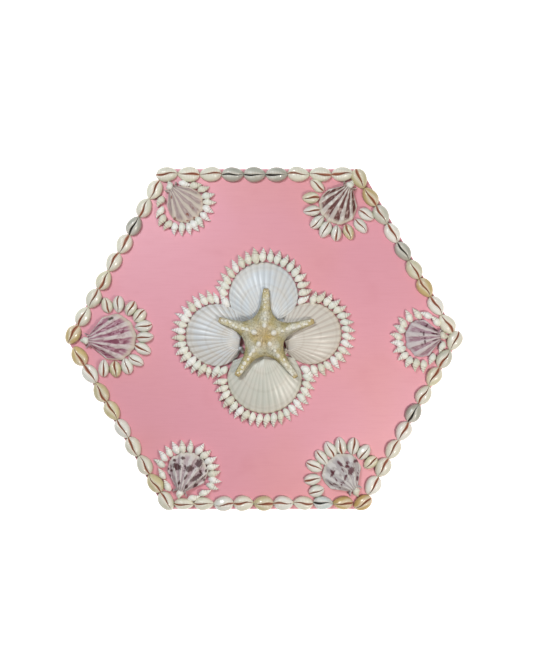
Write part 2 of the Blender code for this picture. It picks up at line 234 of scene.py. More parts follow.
def addBoard(name, node, finish):
    low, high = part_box(node)
    bm = bmesh.new()
    addPrism(bm, high.y, low.z, high.z)
    softenEdges(bm, boardForm["edge"])
    addPiece(name, bm, finish, [node], sharp=50)


def addWalls(name, prefix, finish):
    low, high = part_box(f"{prefix}_n")
    bm = bmesh.new()
    caps = addPrism(bm, high.y, low.z, high.z)
    bmesh.ops.inset_region(bm, faces=caps, thickness=high.y - low.y, use_even_offset=True)
    inner = [edge for cap in caps for edge in cap.edges]
    bmesh.ops.delete(bm, geom=caps, context="FACES_ONLY")
    bmesh.ops.bridge_loops(bm, edges=inner)
    bmesh.ops.recalc_face_normals(bm, faces=bm.faces)
    softenEdges(bm, boardForm["edge"])
    addPiece(name, bm, finish, [f"{prefix}_{side}" for side in sideFacing], sharp=50)


paint = paintFinish()
addBoard("boxFloor", "box_floor", paint)
addWalls("boxWalls", "box_wall", paint)
addWalls("lidRim", "lid_rim", paint)
addBoard("lidBoard", "lid_board", paint)
print("boards made")

# cowries: their back is cut away and the slit shows
cowrieForm = {
    "around": 36,
    "along": 18,
    "gather": 1.7,              # draws the mesh together at the slit
    "pointed": 1.12,            # how sharply the ends close
    "height": 0.0061,
    "slitDepth": 0.0024,
    "lip": 0.00035,
    "lipAt": 1.9,               # the lip's middle and spread, in widths of the slit
    "lipSpread": 0.8,
    "roundness": 0.72,
    "tones": {
        "c": "f6f3e2",
        "w": "fcfbf4",
        "t": "e4d8ac",
        "u": "ece7ca",
        "g": "e3e2d2",
        "G": "bdbdb2",
        "a": "dfc78e",
        "o": "dcbb78",
        "b": "e2ecee",
    },
    "slits": {"plain": "b4755a", "dark": "453c36"},
    "darkSlits": "Gb",
    # the colour of painted shade on each cowrie's lower sides, away from the slit
    "paintedSideShade": "c9c8b0",
    "mottle": "dccb9c",
    "lipTone": "fdfcf4",
    "toothTone": "cfa67c",
    # the colour of painted shade deep in the slit
    "throat": "8a4a34",
    "teeth": 44.0,              # gives about 14 teeth along each lip
}


def cowrieFinish():
    shell = Finish("cowrieGlaze", {"Coat Weight": 0.55, "Coat Roughness": 0.12, "Roughness": 0.3})
    place = shell.place()
    tint = shell.stored("tint", "Color")
    slitTint = shell.stored("slitTint", "Color")
    slit = shell.stored("slit")
    along = shell.stored("along")
    girth = shell.stored("girth")
    mottle = shell.cloud(place, 260.0, 3.0)
    fine = shell.cloud(place, 1500.0, 2.0)
    # painted shade: the shell's lower sides, far from the slit, are darkened as if in shade
    low = shell.mask(girth, 0.34, 0.66)
    patches = shell.mask(mottle, 0.50, 0.74)
    body = shell.blend(low * 0.60, tint, colour(cowrieForm["paintedSideShade"]), "MULTIPLY")
    body = shell.blend(patches * 0.22, body, colour(cowrieForm["mottle"]), "MULTIPLY")
    lips = (1.0 - shell.mask(slit, 1.8, 3.4)) * shell.mask(slit, 0.9, 1.3)
    teeth = shell.mask(shell.maths("SINE", along * cowrieForm["teeth"]), 0.15, 0.8)
    body = shell.blend(lips * 0.45, body, colour(cowrieForm["lipTone"]))
    body = shell.blend(lips * teeth * 0.35, body, colour(cowrieForm["toothTone"]), "MULTIPLY")
    inside = 1.0 - shell.mask(slit, 0.85, 1.30)
    # painted shade: the slit's own tint is darkened towards its middle, where the opening is deepest
    depth = 1.0 - shell.mask(slit, 0.1, 0.7)
    throat = shell.blend(depth * 0.60, slitTint, colour(cowrieForm["throat"]), "MULTIPLY")
    shell.feed("Base Color", shell.blend(inside, body, throat))
    shell.feed("Roughness", 0.26 + 0.12 * mottle + 0.3 * inside)
    shell.relief(lips * teeth * -0.5 + fine * 0.15, 0.35, 0.00015)
    return shell


# what the finishes read of each kind of shell: its numbers and its colours
layerNames = {
    "cowrie": (("slit", "along", "girth"), ("tint", "slitTint")),
    "spiral": (("whorl",), ("tint",)),
    "star": (("knob", "out", "flankShade"), ()),
}


def addLayers(bm, kind):
    numbers, tints = layerNames[kind]
    for name in numbers:
        bm.verts.layers.float.new(name)
    for name in tints:
        bm.verts.layers.float_color.new(name)


def addCowrie(bm, place, length, width, tone, dice, height=cowrieForm["height"]):
    floats, colours = bm.verts.layers.float, bm.verts.layers.float_color
    gather, pointed = cowrieForm["gather"], cowrieForm["pointed"]
    offset = dice.uniform(-0.20, 0.20)
    sway = dice.uniform(0.06, 0.16) * dice.choice((1, 1, -1))
    opening = dice.uniform(0.105, 0.150)
    flare = dice.uniform(0.35, 0.75) * dice.choice((1, -1))
    taper = dice.uniform(0.03, 0.17) * math.copysign(1, flare)
    shade = dice.uniform(0.87, 1.00)
    body = [part * shade for part in colour(cowrieForm["tones"][tone])[:3]]
    dark = tone in cowrieForm["darkSlits"]
    throat = colour(cowrieForm["slits"]["dark" if dark else "plain"])
    ball = bmesh.ops.create_uvsphere(
        bm,
        u_segments=cowrieForm["around"],
        v_segments=cowrieForm["along"],
        radius=1.0,
        matrix=Matrix.Rotation(math.pi / 2, 4, "Y"),
    )
    for vertex in ball["verts"]:
        share = max(-1.0, min(1.0, vertex.co.x))
        ring = math.sqrt(max(0.0, 1 - share * share))
        turn = math.atan2(vertex.co.y, vertex.co.z) / math.pi if ring > 1e-4 else 1.0
        bend = math.copysign(abs(turn) ** gather, turn) * math.pi
        half = width / 2 * ring ** pointed * (1 + taper * share)
        crest = height * (1 - abs(share) ** 2.8) ** 0.6
        line = half * (offset + sway * math.sin(math.pi * share)) * (1 - abs(turn)) ** 2
        wide = opening * (1 + flare * share)
        near = abs(turn) / wide
        rise = crest * max(0.0, math.cos(bend)) ** cowrieForm["roundness"]
        rise -= cowrieForm["slitDepth"] * math.exp(-near * near) * (1 - share ** 6) * ring ** 0.5
        beside = (near - cowrieForm["lipAt"]) / cowrieForm["lipSpread"]
        rise += cowrieForm["lip"] * math.exp(-beside ** 2) * ring
        vertex.co = place @ Vector((length / 2 * share, half * math.sin(bend) + line, max(0.0, rise)))
        vertex[floats["slit"]] = min(near, 8.0)
        vertex[floats["along"]] = share
        vertex[floats["girth"]] = abs(turn)
        vertex[colours["tint"]] = (*body, 1.0)
        vertex[colours["slitTint"]] = throat


# rows along the lid's edge, each starting at the corner before it and going clockwise
rowForm = {
    "n": {"insets": (0.0048, 0.0046), "start": 0.0017, "pitch": 0.0190, "tones": "cccGGGccc"},
    "ne": {"insets": (0.0056, 0.0030), "start": 0.0065, "pitch": 0.01835, "tones": "tagwGuawc"},
    "se": {"insets": (0.0031, 0.0015), "start": 0.0034, "pitch": 0.0180, "tones": "cgucGwccw"},
    "s": {"insets": (0.0057, 0.0047), "start": -0.0014, "pitch": 0.0172, "tones": "oobcwtcwcc"},
    "sw": {"insets": (0.0044, 0.0022), "start": 0.0054, "pitch": 0.0183, "tones": "ctccwttwa"},
    "nw": {"insets": (0.0030, 0.0012), "start": 0.0062, "pitch": 0.01795, "tones": "accuccGcc"},
    "width": 0.0132,
    "overlap": 0.0003,
    "leans": {"s": {0: 27}, "ne": {0: -6}},
    "widths": {"s": {0: 0.0122, 1: 0.0120, 2: 0.0117, 3: 0.0123, 8: 0.0112, 9: 0.0100}},
    "sway": (-4, 5),            # how far a shell may lean by chance, in degrees
}


def addRow(side, finish, seed):
    dice = random.Random(seed)
    row = rowForm[side]
    facing = sideFacing[side]
    outward, along = turned(facing), turned(facing - 90)
    corner = outward * lidApothem - along * lidCorner / 2
    bm = bmesh.new()
    addLayers(bm, "cowrie")
    for index, tone in enumerate(row["tones"]):
        share = index / (len(row["tones"]) - 1)
        inset = row["insets"][0] * (1 - share) + row["insets"][1] * share
        spot = corner - outward * inset + along * (row["start"] + row["pitch"] * index)
        lean = rowForm["leans"].get(side, {}).get(index, 0) + dice.uniform(*rowForm["sway"])
        back = 180 * dice.choice((0, 1))
        width = rowForm["widths"].get(side, {}).get(index, rowForm["width"]) * dice.uniform(0.97, 1.04)
        place = laidAt(spot, facing - 90 + lean + back)
        addCowrie(bm, place, row["pitch"] + rowForm["overlap"], width, tone, dice)
    addPiece(f"cowrieRow.{side}", bm, finish, [f"cowrie_row_{side}"])


cowrieGlaze = cowrieFinish()
for number, side in enumerate(sideFacing):
    addRow(side, cowrieGlaze, 20 + number)
print("edge cowries made")

# small pointed spiral shells
spiralForm = {
    "around": 14,
    "along": 30,
    "widest": 0.44,             # from the blunt end, as a share of the length
    "whorls": 3.6,
    "step": 0.26,               # how deep the seam between two whorls is
    "tones": ("fbfaf0", "f3f1e4", "fdfcf8", "f0f2e8", "eae7d6"),
    # the sutures' own grey-brown, which also stands for painted shade in the crease between whorls
    "sutureToneAndShade": "978c7e",
    "speck": "d6c7a4",
    "lift": 0.86,               # the axis's height over the lid, as a share of the shell's radius
}


def smallShellFinish():
    shell = Finish("smallShell", {"Coat Weight": 0.15, "Coat Roughness": 0.25})
    place = shell.place()
    tint = shell.stored("tint", "Color")
    whorl = shell.stored("whorl")
    speck = shell.cloud(place, 420.0, 3.0)
    fine = shell.cloud(place, 1900.0, 2.0)
    # the sutures between whorls are darkened: partly their own grey-brown line, partly painted shade in the
    # crease
    sutureToneAndShade = 1.0 - shell.mask(whorl, 0.02, 0.50)
    body = shell.blend(sutureToneAndShade * 0.85, tint, colour(spiralForm["sutureToneAndShade"]), "MULTIPLY")
    body = shell.blend(shell.mask(speck, 0.52, 0.72) * 0.22, body, colour(spiralForm["speck"]), "MULTIPLY")
    shell.feed("Base Color", body)
    shell.feed("Roughness", 0.36 + 0.2 * speck)
    shell.relief(fine + speck, 0.25, 0.0002)
    return shell


def addSpiral(bm, place, length, width, dice, stout=1.0):
    floats, colours = bm.verts.layers.float, bm.verts.layers.float_color
    widest, whorls = spiralForm["widest"], spiralForm["whorls"]
    tint = colour(dice.choice(spiralForm["tones"]))
    hand = dice.uniform(0.03, 0.09)
    spin = dice.uniform(0, 1)
    lift = width / 2 * spiralForm["lift"]
    ball = bmesh.ops.create_uvsphere(
        bm,
        u_segments=spiralForm["around"],
        v_segments=spiralForm["along"],
        radius=1.0,
        matrix=Matrix.Rotation(math.pi / 2, 4, "Y"),
    )
    for vertex in ball["verts"]:
        tip = 1 - math.acos(max(-1.0, min(1.0, vertex.co.x))) / math.pi
        ringed = 0.0005 < tip < 0.9995
        around = math.atan2(vertex.co.z, vertex.co.y) if ringed else 0.0
        if tip < widest:
            girth = math.sin(math.pi / 2 * tip / widest) ** (0.52 * stout)
        else:
            girth = (1 - ((tip - widest) / (1 - widest)) ** 1.25) ** 0.92
        phase = whorls * (tip - widest) / (1 - widest) + around / (2 * math.pi) + spin
        wave = abs(math.sin(math.pi * phase))
        spire = eased(tip, widest - 0.05, widest + 0.15)
        girth *= 1 - spiralForm["step"] * spire * (1 - wave ** 0.6)
        radius = width / 2 * girth * (1 if ringed else 0)
        drift = width * hand * math.sin(2 * math.pi * tip)
        local = Vector((
            length * (tip - 0.5),
            radius * math.cos(around) + drift,
            max(0.0, lift * (0.45 + 0.55 * girth) + radius * math.sin(around)),
        ))
        vertex.co = place @ local
        vertex[floats["whorl"]] = 1 - spire * (1 - wave)
        vertex[colours["tint"]] = tint


# rings of small shells around the corner fans: where each shell lies in the photograph, in pixels,
# and which way it points in degrees
haloForm = {
    "e": {"kind": "spiral", "shells": (
        (435.4, 320.8, 135), (425.8, 314.8, 160), (416.6, 313.5, 130), (408.3, 316.0, 117),
        (402.2, 322.1, 133), (399.3, 328.5, 155), (396.1, 335.8, 168), (397.1, 343.1, 178),
        (399.3, 349.8, 205), (402.8, 356.5, 217), (408.3, 362.0, 245), (415.6, 365.1, 265),
        (423.3, 366.4, 268), (431.5, 359.1, 250), (441.4, 347.3, 250),
    )},
    "ne": {"kind": "cowrie", "tones": "cuwwwwtww", "shells": (
        (317.0, 185.9, 139), (310.7, 197.8, 183), (311.8, 210.8, 187), (317.0, 222.0, 223),
        (325.1, 229.7, 241), (336.0, 233.2, 266), (348.6, 232.2, 289), (360.5, 226.2, 309),
        (366.1, 214.6, 327),
    )},
    "nw": {"kind": "spiral", "shells": (
        (185.1, 184.1, -10), (196.0, 185.5, 10), (203.7, 189.0, 22), (208.2, 195.7, 15),
        (209.6, 202.4, 2), (208.2, 209.7, -27), (205.4, 217.1, -34), (199.8, 222.4, -53),
        (194.9, 226.2, -51), (189.3, 229.0, -72), (181.9, 229.4, -87), (174.6, 229.0, -90),
        (167.5, 225.5, -127), (161.9, 220.6, -117), (159.8, 212.5, -120), (160.2, 201.7, -116),
    )},
    "w": {"kind": "cowrie", "tones": "cwccwwwwwtw", "shells": (
        (106.9, 305.3, 106), (118.7, 304.3, 87), (130.8, 308.5, 61), (139.7, 315.8, 47),
        (143.5, 326.0, 10), (145.1, 336.9, 6), (142.9, 348.7, -27), (136.2, 360.2, -31),
        (127.0, 366.2, -72), (115.5, 369.1, -85), (103.7, 368.1, -93),
    )},
    "sw": {"kind": "spiral", "shells": (
        (167.2, 485.1, 121), (161.8, 473.3, 123), (159.5, 462.7, 151), (162.9, 455.5, 132),
        (168.7, 451.0, 124), (175.3, 447.5, 118), (182.4, 446.4, 100), (190.5, 446.4, 90),
        (200.2, 448.7, 56), (205.7, 454.1, 38), (210.6, 459.9, 30), (213.1, 466.5, 16),
        (214.3, 473.1, 21), (214.9, 480.2, -9), (212.6, 486.5, -20), (205.1, 492.3, 25),
        (194.2, 497.5, 18),
    )},
    "se": {"kind": "cowrie", "tones": "uwwwwwwww", "shells": (
        (370.3, 462.4, 41), (363.6, 451.9, 54), (353.0, 446.1, 82), (340.6, 445.5, 102),
        (330.1, 449.7, 118), (321.5, 457.6, 127), (314.1, 466.2, 155), (312.5, 479.3, 190),
        (316.4, 490.8, 199),
    )},
    "cowrie": {"length": 0.0150, "width": 0.0099, "height": 0.0053, "slot": "cowrie_shell"},
    "spiral": {"length": 0.0120, "width": 0.0061, "slot": "small_shell"},
}


def addHalo(corner, finishes, seed):
    dice = random.Random(seed)
    halo = haloForm[corner]
    kind = haloForm[halo["kind"]]
    bm = bmesh.new()
    addLayers(bm, halo["kind"])
    for index, (across, down, pointing) in enumerate(halo["shells"]):
        length = kind["length"] * dice.uniform(0.94, 1.05)
        width = kind["width"] * dice.uniform(0.93, 1.07)
        place = laidAt(fromPhoto(across, down), pointing)
        if halo["kind"] == "cowrie":
            addCowrie(bm, place, length, width, halo["tones"][index], dice, kind["height"])
        else:
            addSpiral(bm, place, length, width, dice)
    finish = finishes[halo["kind"]]
    addPiece(f"haloShells.{corner}", bm, finish, [f"halo_shells_{corner}"])


# rings of spiral shells around the four scallops: the ring's middle, the bearings of its first and
# last shell, its radius to the shells' middle, and which way each shell points in degrees. Some
# shells are longer or shorter, and some are shifted, in degrees along the ring and outwards
lobeForm = {
    "n": {
        "at": (0.0004, 0.0364), "first": 185.4, "last": -3.7, "radius": 0.0364,
        "points": (
            126, 148, 149, 134, 131, 115, 115, 110, 102, 85,
            91, 75, 65, 63, 58, 35, 25, 22, 38,
        ),
        "long": {8: 1.14, 0: 1.1},
        "shifts": {0: (0, -0.0025), 1: (-3.5, 0.0005), 2: (-1.5, 0), 18: (0, -0.0015)},
    },
    "e": {
        "at": (0.0411, 0.0048), "first": -94.7, "last": 84.5, "radius": 0.0330,
        "points": (
            -39, -60, -60, -45, -53, -38, -29, -20, -14, -10,
            2, 13, 30, 39, 61, 56, 72,
        ),
        "long": {0: 1.12},
        "shifts": {16: (0, -0.002)},
    },
    "s": {
        "at": (0.0013, -0.0320), "first": 187.5, "last": 357.1, "radius": 0.0388,
        "points": (
            197, 205, 224, 229, 240, 234, 239, 257, 260, 260,
            271, 281, 298, 313, 314, 320, 319, 332, 336,
        ),
        "long": {3: 1.12},
        "shifts": {},
    },
    "w": {
        "at": (-0.0398, 0.0035), "first": 90.3, "last": 278.0, "radius": 0.0335,
        "points": (
            115, 115, 126, 127, 134, 134, 153, 167, 175, 187,
            198, 214, 223, 227, 236, 240, 265, 244, 231,
        ),
        "long": {0: 0.86, 6: 1.1, 13: 1.1, 14: 1.1, 16: 0.82},
        "shifts": {0: (1.5, -0.0015), 17: (0, -0.0012), 18: (0, -0.0012)},
    },
    "length": 0.0129,
    "width": 0.0061,
}


def addLobe(name, finish, seed):
    dice = random.Random(seed)
    lobe = lobeForm[name]
    bm = bmesh.new()
    addLayers(bm, "spiral")
    for index, pointing in enumerate(lobe["points"]):
        bearing = lobe["first"] + (lobe["last"] - lobe["first"]) * index / (len(lobe["points"]) - 1)
        shift, outward = lobe["shifts"].get(index, (0, 0))
        spot = Vector(lobe["at"]) + turned(bearing + shift) * (lobe["radius"] + outward)
        size = lobe["long"].get(index, 1.0)
        length = lobeForm["length"] * size * dice.uniform(0.97, 1.04)
        width = lobeForm["width"] * size * dice.uniform(0.94, 1.08)
        addSpiral(bm, laidAt(spot, pointing), length, width, dice)
    addPiece(f"spiralRow.{name}", bm, finish, [f"spiral_row_{name}"])


smallShell = smallShellFinish()
corners = ("e", "ne", "nw", "w", "sw", "se")
for number, corner in enumerate(corners):
    addHalo(corner, {"cowrie": cowrieGlaze, "spiral": smallShell}, 40 + number)
for number, name in enumerate("nesw"):
    addLobe(name, smallShell, 60 + number)
print("rings of small shells made")


# dark marks on the fans: how ragged and how soft their edges are
markForm = {"ragged": 0.45, "grain": 0.9, "soft": (0.75, 1.15)}


def markAt(spot, marks):
    # how dark a spot of a shell is, from its marks: where each lies in the photograph in pixels,
    # half its length and width, and the way it runs in degrees
    dark = 0.0
    for across, down, halfLength, halfWidth, degrees in marks:
        gone = (spot - fromPhoto(across, down)) / photoForm["metres"]
        if gone.length > 2 * halfLength:
            continue
        along = turned(degrees)
        aside = gone.x * along.y - gone.y * along.x
        away = math.hypot(gone.dot(along) / halfLength, aside / halfWidth)
        grain = Vector((gone.x * markForm["grain"], gone.y * markForm["grain"], across))
        away += markForm["ragged"] * noise.noise(grain)
        dark = max(dark, 1 - eased(away, *markForm["soft"]))
    return dark


# valves: scallops and fans are one sheet each, from hinge to rim, with ribs that spread
valveForm = {
    "shoulderAt": (0.72, 1.0),      # where the rim draws in towards the sides
    "earPower": 2.6,                # how narrow the ears beside the hinge are
    "swell": (0.7, 0.75),           # how far from the hinge the sheet is highest, and how full it is
    "lift": 1.05,                   # the sheet lies this many walls over the lid
    "ribFade": 0.4,
}


def addValve(name, form, place, finish, node):
    bm = bmesh.new()
    shellMap = bm.loops.layers.uv.new("shellMap")
    mark = bm.verts.layers.float.new("mark")
    bmesh.ops.create_grid(bm, x_segments=form["columns"], y_segments=form["rows"], size=1.0)
    for face in bm.faces:
        for loop in face.loops:
            loop[shellMap].uv = ((loop.vert.co.x + 1) / 2, (loop.vert.co.y + 1) / 2)
    length, halfWidth, near = form["length"], form["halfWidth"], form["near"]
    toCentre = length - halfWidth
    lowest = form["wall"] * valveForm["lift"]
    along, power = valveForm["swell"]
    for vertex in bm.verts:
        side, out = vertex.co.x, (vertex.co.y + 1) / 2
        wobble = noise.noise(Vector((side * 2.3, out * 2.0, form["seed"]))) * form["wobble"]
        wave = 0.5 + 0.5 * math.cos(2 * math.pi * ((side + 1) / 2 * form["ribs"] + wobble))
        rib = wave ** form["ribSharp"]
        angle = side * form["halfAngle"]
        aside = toCentre * math.sin(math.radians(angle))
        reach = toCentre * math.cos(math.radians(angle)) + math.sqrt(halfWidth ** 2 - aside ** 2)
        reach *= 1 - form["shoulder"] * eased(abs(side), *valveForm["shoulderAt"])
        ragged = form["ragged"] * noise.noise(Vector((side * 9.0, 0.0, form["seed"])))
        reach *= 1 + form["rimWave"] * (rib - 0.5) + ragged
        earShare = eased(1 - out / form["earEnd"], 0.0, 1.0)
        distance = near + (reach - near) * out
        angle += math.copysign(form["earTurn"], side) * earShare * abs(side) ** 2
        distance += form["ear"] * earShare * abs(side) ** valveForm["earPower"]
        arch = math.sin(math.pi * min(1.0, distance / reach) ** along) if out < 0.999 else 0.0
        edge = math.sqrt(max(0.0, 1 - side ** 2)) * (1 - earShare * abs(side))
        rise = form["height"] * max(0.0, arch) ** power * edge
        fade = 1 - valveForm["ribFade"] * eased(out, 0.9, 1.0)
        rise += form["ribHeight"] * min(1.0, 0.25 + out) * rib * fade
        rise += form["ripple"] * noise.noise(Vector((side * 4.0, out * 6.0, form["seed"] + 5)))
        rise += lowest + 0.0001
        vertex.co = place @ Vector((*(turned(angle) * distance), max(lowest, rise)))
        vertex[mark] = markAt(vertex.co.xy, form.get("marks", ()))
    bmesh.ops.recalc_face_normals(bm, faces=bm.faces)
    if sum(face.normal.z for face in bm.faces) < 0:
        bmesh.ops.reverse_faces(bm, faces=bm.faces)
    piece = addPiece(name, bm, finish, [node])
    wall = piece.modifiers.new("wall", "SOLIDIFY")
    wall.thickness = form["wall"]
    wall.offset = -1.0
    wall.use_even_offset = False


# each scallop's groove colour and strength darken the grooves between the ribs: partly their own tan,
# partly painted shade
scallopForm = {
    "shared": {
        "columns": 176, "rows": 40, "ribs": 22, "ribSharp": 1.0, "height": 0.0088,
        "wall": 0.0012, "near": 0.0040, "wobble": 0.05, "rimWave": 0.006, "ragged": 0.004, "ripple": 0.0002,
        "shoulder": 0.10, "earEnd": 0.28, "cream": "e4ded4", "streak": "c4b7b2", "ring": "cdc4b8",
        "rim": "eed6bd",
    },
    "n": {
        "hinge": (0.0028, 0.0103), "facing": 95.2, "halfWidth": 0.0300, "length": 0.0562, "seed": 1.0,
        "halfAngle": 70.0, "ear": 0.0135, "earTurn": 10.0, "ribHeight": 0.00028,
        "white": "dde4ea", "groove": "b9b6ba", "strength": 0.26,
    },
    "e": {
        "hinge": (0.0146, -0.0028), "facing": 16.0, "halfWidth": 0.0268, "length": 0.0543, "seed": 2.0,
        "halfAngle": 72.0, "ear": 0.0080, "earTurn": 16.0, "ribHeight": 0.00026,
        "white": "ded8ce", "groove": "bb9f98", "strength": 0.30,
    },
    "s": {
        "hinge": (0.0004, -0.0080), "facing": 272.1, "halfWidth": 0.0325, "length": 0.0565, "seed": 3.0,
        "halfAngle": 70.0, "ear": 0.0125, "earTurn": 14.0, "ribHeight": 0.00020,
        "white": "d6d7cd", "groove": "b2b0a2", "strength": 0.20,
    },
    "w": {
        "hinge": (-0.0155, -0.0006), "facing": 170.4, "halfWidth": 0.0270, "length": 0.0517, "seed": 4.0,
        "halfAngle": 76.0, "ear": 0.0075, "earTurn": 18.0, "ribHeight": 0.00038,
        "white": "dde1e5", "groove": "b09c88", "strength": 0.38,
    },
}


def scallopFinish(name, form):
    shell = Finish(name, {"Coat Weight": 0.18, "Coat Roughness": 0.25})
    side, out, flat = shell.across()
    place = shell.place()
    line = shell.maths("COSINE", side * (2 * math.pi * form["ribs"])) * 0.5 + 0.5
    tone = shell.cloud(flat, 5.0, 3.0)
    streak = shell.cloud(shell.stretched(flat, (60.0, 4.0, 1.0)), 1.0, 3.0)
    arcs = shell.maths("SINE", (out + tone * 0.02) * 120.0)
    ring = shell.mask(shell.maths("SINE", (out + tone * 0.03) * 22.0), 0.80, 1.0)
    fine = shell.cloud(place, 1500.0, 2.0)
    body = shell.blend(shell.mask(tone, 0.35, 0.68) * 0.6, colour(form["white"]), colour(form["cream"]))
    # painted shade between the ribs, tinted with the grooves' own tan, as strong as each scallop's strength
    groove = (1.0 - shell.mask(line, 0.0, 0.60)) * shell.mask(out, 0.02, 0.3)
    body = shell.blend(groove * form["strength"], body, colour(form["groove"]), "MULTIPLY")
    body = shell.blend(shell.mask(streak, 0.5, 0.8) * 0.16, body, colour(form["streak"]), "MULTIPLY")
    body = shell.blend(ring * 0.14, body, colour(form["ring"]), "MULTIPLY")
    body = shell.blend(shell.mask(out, 0.94, 1.0) * 0.35, body, colour(form["rim"]), "MULTIPLY")
    shell.feed("Base Color", body)
    shell.feed("Roughness", 0.36 + 0.15 * tone)
    shell.relief(arcs * 0.08 + ring * 0.4 + streak * 0.5 + fine * 0.12, 0.30, 0.0004)
    return shell


for name in "nesw":
    form = {**scallopForm["shared"], **scallopForm[name]}
    finish = scallopFinish(f"scallopWhite.{name}", form)
    place = laidAt(form["hinge"], form["facing"])
    addValve(f"scallop.{name}", form, place, finish, f"scallop_{name}")
print("scallops made")

# fans at the corners. The pattern of each: the tones between the ribs, of the ribs, of the rim and of
# the dark patches, where along the shell those patches lie, and marks as markAt reads them
fanForm = {
    "shared": {
        "columns": 110, "rows": 44, "ribSharp": 1.4, "height": 0.0062, "wall": 0.0011, "near": 0.0034,
        "wobble": 0.16, "rimWave": 0.020, "ragged": 0.030, "ripple": 0.0006, "shoulder": 0.12,
        "ear": 0.0030, "earTurn": 42.0, "earEnd": 0.12, "halfAngle": 46.0, "ribHeight": 0.0011,
        "ribCut": 0.55, "arc": "9c8580",
    },
    "e": {
        "at": (0.1567, 0.0027), "facing": 186, "length": 0.0338, "halfWidth": 0.0176,
        "ribs": 5, "seed": 11.0, "bend": 0.3,
        "between": "a37d8c", "ribTone": "d9d0d0", "rim": "cabfc4",
        "dark": "521f30", "patch": 0.62, "band": (0.05, 0.66),
        "marks": (
            (423.0, 333.6, 2.4, 0.9, 80), (424.2, 341.9, 2.2, 0.9, 95), (426.4, 325.3, 2.0, 0.8, 60),
            (434.4, 329.4, 3.5, 1.0, -30), (433.8, 333.6, 3.5, 0.8, -10), (434.4, 340.0, 3.5, 0.8, 10),
        ),
    },
    "ne": {
        "at": (0.0759, 0.1342), "facing": 240, "length": 0.0378, "halfWidth": 0.0170,
        "ribs": 6, "seed": 12.0, "bend": 0.35,
        "between": "a07c74", "ribTone": "eeebe4", "rim": "e0d7c8",
        "dark": "653632", "patch": 0.44, "band": (0.15, 0.95),
    },
    "nw": {
        "at": (-0.0808, 0.1330), "facing": 309, "length": 0.0372, "halfWidth": 0.0162,
        "ribs": 6, "seed": 13.0, "bend": 0.5,
        "between": "b09a9a", "ribTone": "dacfc2", "rim": "d8c8b8",
        "dark": "8f5544", "patch": 0.66, "band": (0.62, 1.0),
        "marks": (
            (187.2, 214.6, 1.8, 1.0, 40), (174.9, 218.9, 1.8, 1.1, 70), (187.9, 221.0, 1.5, 1.0, 0),
            (194.2, 218.2, 1.4, 1.0, 60), (171.8, 197.8, 1.8, 0.8, 80),
        ),
    },
    "w": {
        "at": (-0.1546, -0.0013), "facing": 6, "length": 0.0450, "halfWidth": 0.0208,
        "ribs": 6, "seed": 14.0, "bend": 0.55,
        "between": "ab7488", "ribTone": "ddd2cf", "rim": "d8ccbc",
        "dark": "834359", "patch": 0.50, "band": (0.22, 0.85),
        "marks": ((111.3, 318.7, 3.4, 1.3, 25),), "markTone": "45402f",
    },
    "sw": {
        "at": (-0.0723, -0.1345), "facing": 71, "length": 0.0378, "halfWidth": 0.0187,
        "ribs": 6, "seed": 15.0, "bend": 0.8,
        "between": "b39ca2", "ribTone": "dcd6d3", "rim": "dcd6ce",
        "dark": "48181f", "patch": 0.60, "band": (0.42, 0.93),
        "ribCut": 0.1, "marks": (
            (183.0, 457.6, 2.4, 1.6, 0), (174.4, 459.9, 1.8, 1.3, 0), (177.3, 466.0, 4.8, 3.2, -30),
            (190.2, 468.2, 4.4, 3.4, 20), (199.4, 463.0, 4.6, 3.6, 60), (196.5, 477.0, 7.2, 2.3, 35),
            (169.5, 475.4, 2.2, 1.5, 0), (168.0, 468.5, 1.8, 1.4, 0), (171.8, 470.0, 1.6, 1.3, 0),
            (179.3, 482.2, 2.6, 1.5, 70), (186.7, 485.7, 2.6, 1.5, 70), (195.5, 485.0, 3.2, 1.7, 40),
            (204.6, 479.5, 2.2, 1.4, 0), (186.0, 476.5, 3.4, 1.2, 60), (206.0, 470.5, 1.8, 1.2, 80),
        ),
    },
    "se": {
        "at": (0.0809, -0.1328), "facing": 126, "length": 0.0375, "halfWidth": 0.0183,
        "ribs": 5, "seed": 16.0, "bend": 1.1,
        "between": "b6aeb0", "ribTone": "d9d6d4", "rim": "d6d1c9",
        "dark": "5f2c37", "patch": 0.56, "band": (0.30, 0.82),
        "ribCut": 0.2, "marks": (
            (351.0, 470.0, 4.8, 3.0, 60), (340.0, 463.5, 4.0, 1.6, -40), (332.5, 473.0, 4.0, 1.6, 60),
            (355.5, 461.0, 3.0, 1.7, 20), (345.0, 477.0, 3.6, 1.3, 70), (357.0, 478.0, 3.0, 1.3, 80),
            (346.0, 466.0, 2.2, 1.4, 10),
        ),
    },
}


